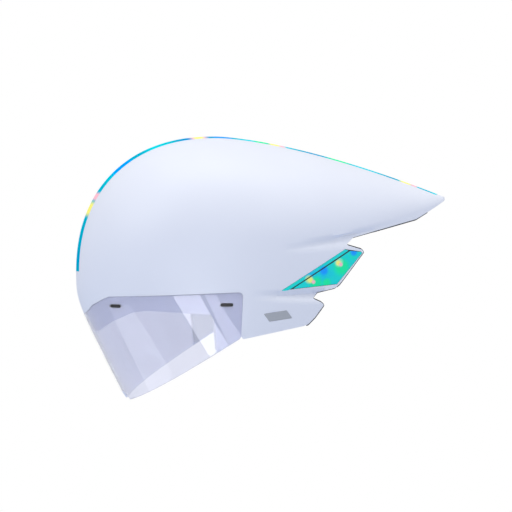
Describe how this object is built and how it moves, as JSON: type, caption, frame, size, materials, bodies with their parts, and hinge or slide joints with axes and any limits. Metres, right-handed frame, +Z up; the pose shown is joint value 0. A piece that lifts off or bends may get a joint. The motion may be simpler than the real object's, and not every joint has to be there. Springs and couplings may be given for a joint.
{
  "type": "aero time trial helmet",
  "caption": "Long-tailed aerodynamic cycling helmet with a pull-off magnetic face visor, foam liner, adjustable nape cradle and chin straps.",
  "frame": {"origin": "middle of the space that the head fills, on the middle plane of the helmet", "axes": "-X towards the brow and +X towards the tail tip, -Y the wearer's left, +Z up; the helmet lies nose down by 27.5 degrees, as on a rider in a tuck, so the wearer's own forward axis is (-0.887, 0, -0.462)"},
  "size_m": [0.36, 0.196, 0.253],
  "materials": {
    "shell_white": "satin white, softly sheened",
    "iridescent_inlay": "glossy teal film that shifts to blue, green, yellow and pink",
    "grey_badge": "glossy mid grey, plain",
    "visor_clear": "clear, faintly smoked lilac, glossy",
    "magnet_dark": "black coating",
    "frame_pale": "satin pale grey",
    "foam_white": "moulded bead foam, matte",
    "plastic_black": "matte moulded nylon",
    "rubber_black": "matte",
    "pad_fabric": "brushed knit over foam",
    "hook_nylon": "hook tape",
    "steel": "bright",
    "lace_black": "braided cord",
    "webbing_black": "flat woven webbing"
  },
  "bodies": {
    "helmet": {"outer_shell": "shell_white", "centre_stripe": "iridescent_inlay", "fin_panel_left": "iridescent_inlay", "fin_panel_right": "iridescent_inlay", "fin_strip_left": "iridescent_inlay", "fin_strip_right": "iridescent_inlay", "ear_badge_left": "grey_badge", "ear_badge_right": "grey_badge", "visor_frame": "frame_pale", "frame_magnets": "magnet_dark", "eps_liner": "foam_white", "tail_pan": "plastic_black", "rear_trim_left": "rubber_black", "rear_trim_right": "rubber_black", "brow_pad": "pad_fabric", "crown_pad": "pad_fabric", "crown_side_pad_left": "pad_fabric", "crown_side_pad_right": "pad_fabric", "side_pad_left": "pad_fabric", "side_pad_right": "pad_fabric", "rear_pad_left": "pad_fabric", "rear_pad_right": "pad_fabric", "hook_dots": "hook_nylon", "arm_guide_left": "plastic_black", "arm_guide_right": "plastic_black", "strap_anchors": "plastic_black", "front_strap_left": "webbing_black", "front_strap_right": "webbing_black", "rear_strap_left": "webbing_black", "rear_strap_right": "webbing_black", "chin_strap_left": "webbing_black", "chin_strap_right": "webbing_black", "strap_divider_left": "plastic_black", "strap_divider_right": "plastic_black", "lever_pin_left": "steel", "lever_pin_right": "steel", "buckle_sleeve": "plastic_black", "strap_keeper": "rubber_black"},
    "visor": {"visor_lens": "visor_clear", "visor_magnets": "magnet_dark"},
    "cradle": {"nape_cradle": "plastic_black", "cradle_arm_left": "plastic_black", "cradle_arm_right": "plastic_black", "cradle_pad": "pad_fabric", "dial_housing": "plastic_black", "dial_pawl": "steel", "tension_lace": "lace_black"},
    "dial": {"dial_knob": "plastic_black", "dial_spool": "plastic_black", "dial_screw": "steel"},
    "lever_left": {"cam_lever_left": "plastic_black"},
    "lever_right": {"cam_lever_right": "plastic_black"},
    "buckle_half": {"buckle_plug": "plastic_black"}
  },
  "joints": [
    {"name": "visor_pull", "type": "slide", "parent": "helmet", "child": "visor", "axis": [-0.5, 0, -0.866], "range_m": [0, 0.2]},
    {"name": "cradle_slide", "type": "slide", "parent": "helmet", "child": "cradle", "axis": [-0.887, 0, -0.4617], "range_m": [0, 0.012]},
    {"name": "dial_turn", "type": "hinge", "parent": "cradle", "child": "dial", "pos_m": [0.11811, 0, -0.00165], "axis": [0.887, 0, 0.4617], "range_deg": [0, 138]},
    {"name": "lever_left_turn", "type": "hinge", "parent": "helmet", "child": "lever_left", "pos_m": [0.03362, -0.0653, -0.06189], "axis": [0, 0, 1], "range_deg": [0, 80]},
    {"name": "lever_right_turn", "type": "hinge", "parent": "helmet", "child": "lever_right", "pos_m": [0.03362, 0.0653, -0.06189], "axis": [0, 0, -1], "range_deg": [0, 80]},
    {"name": "buckle_pull", "type": "slide", "parent": "helmet", "child": "buckle_half", "axis": [0, 1, 0], "range_m": [0, 0.018], "deforming": ["chin_strap_right"]}
  ],
  "couplings": [
    {"joint": "dial_turn", "follows": "cradle_slide", "rad_per_m": 200.7}
  ]
}
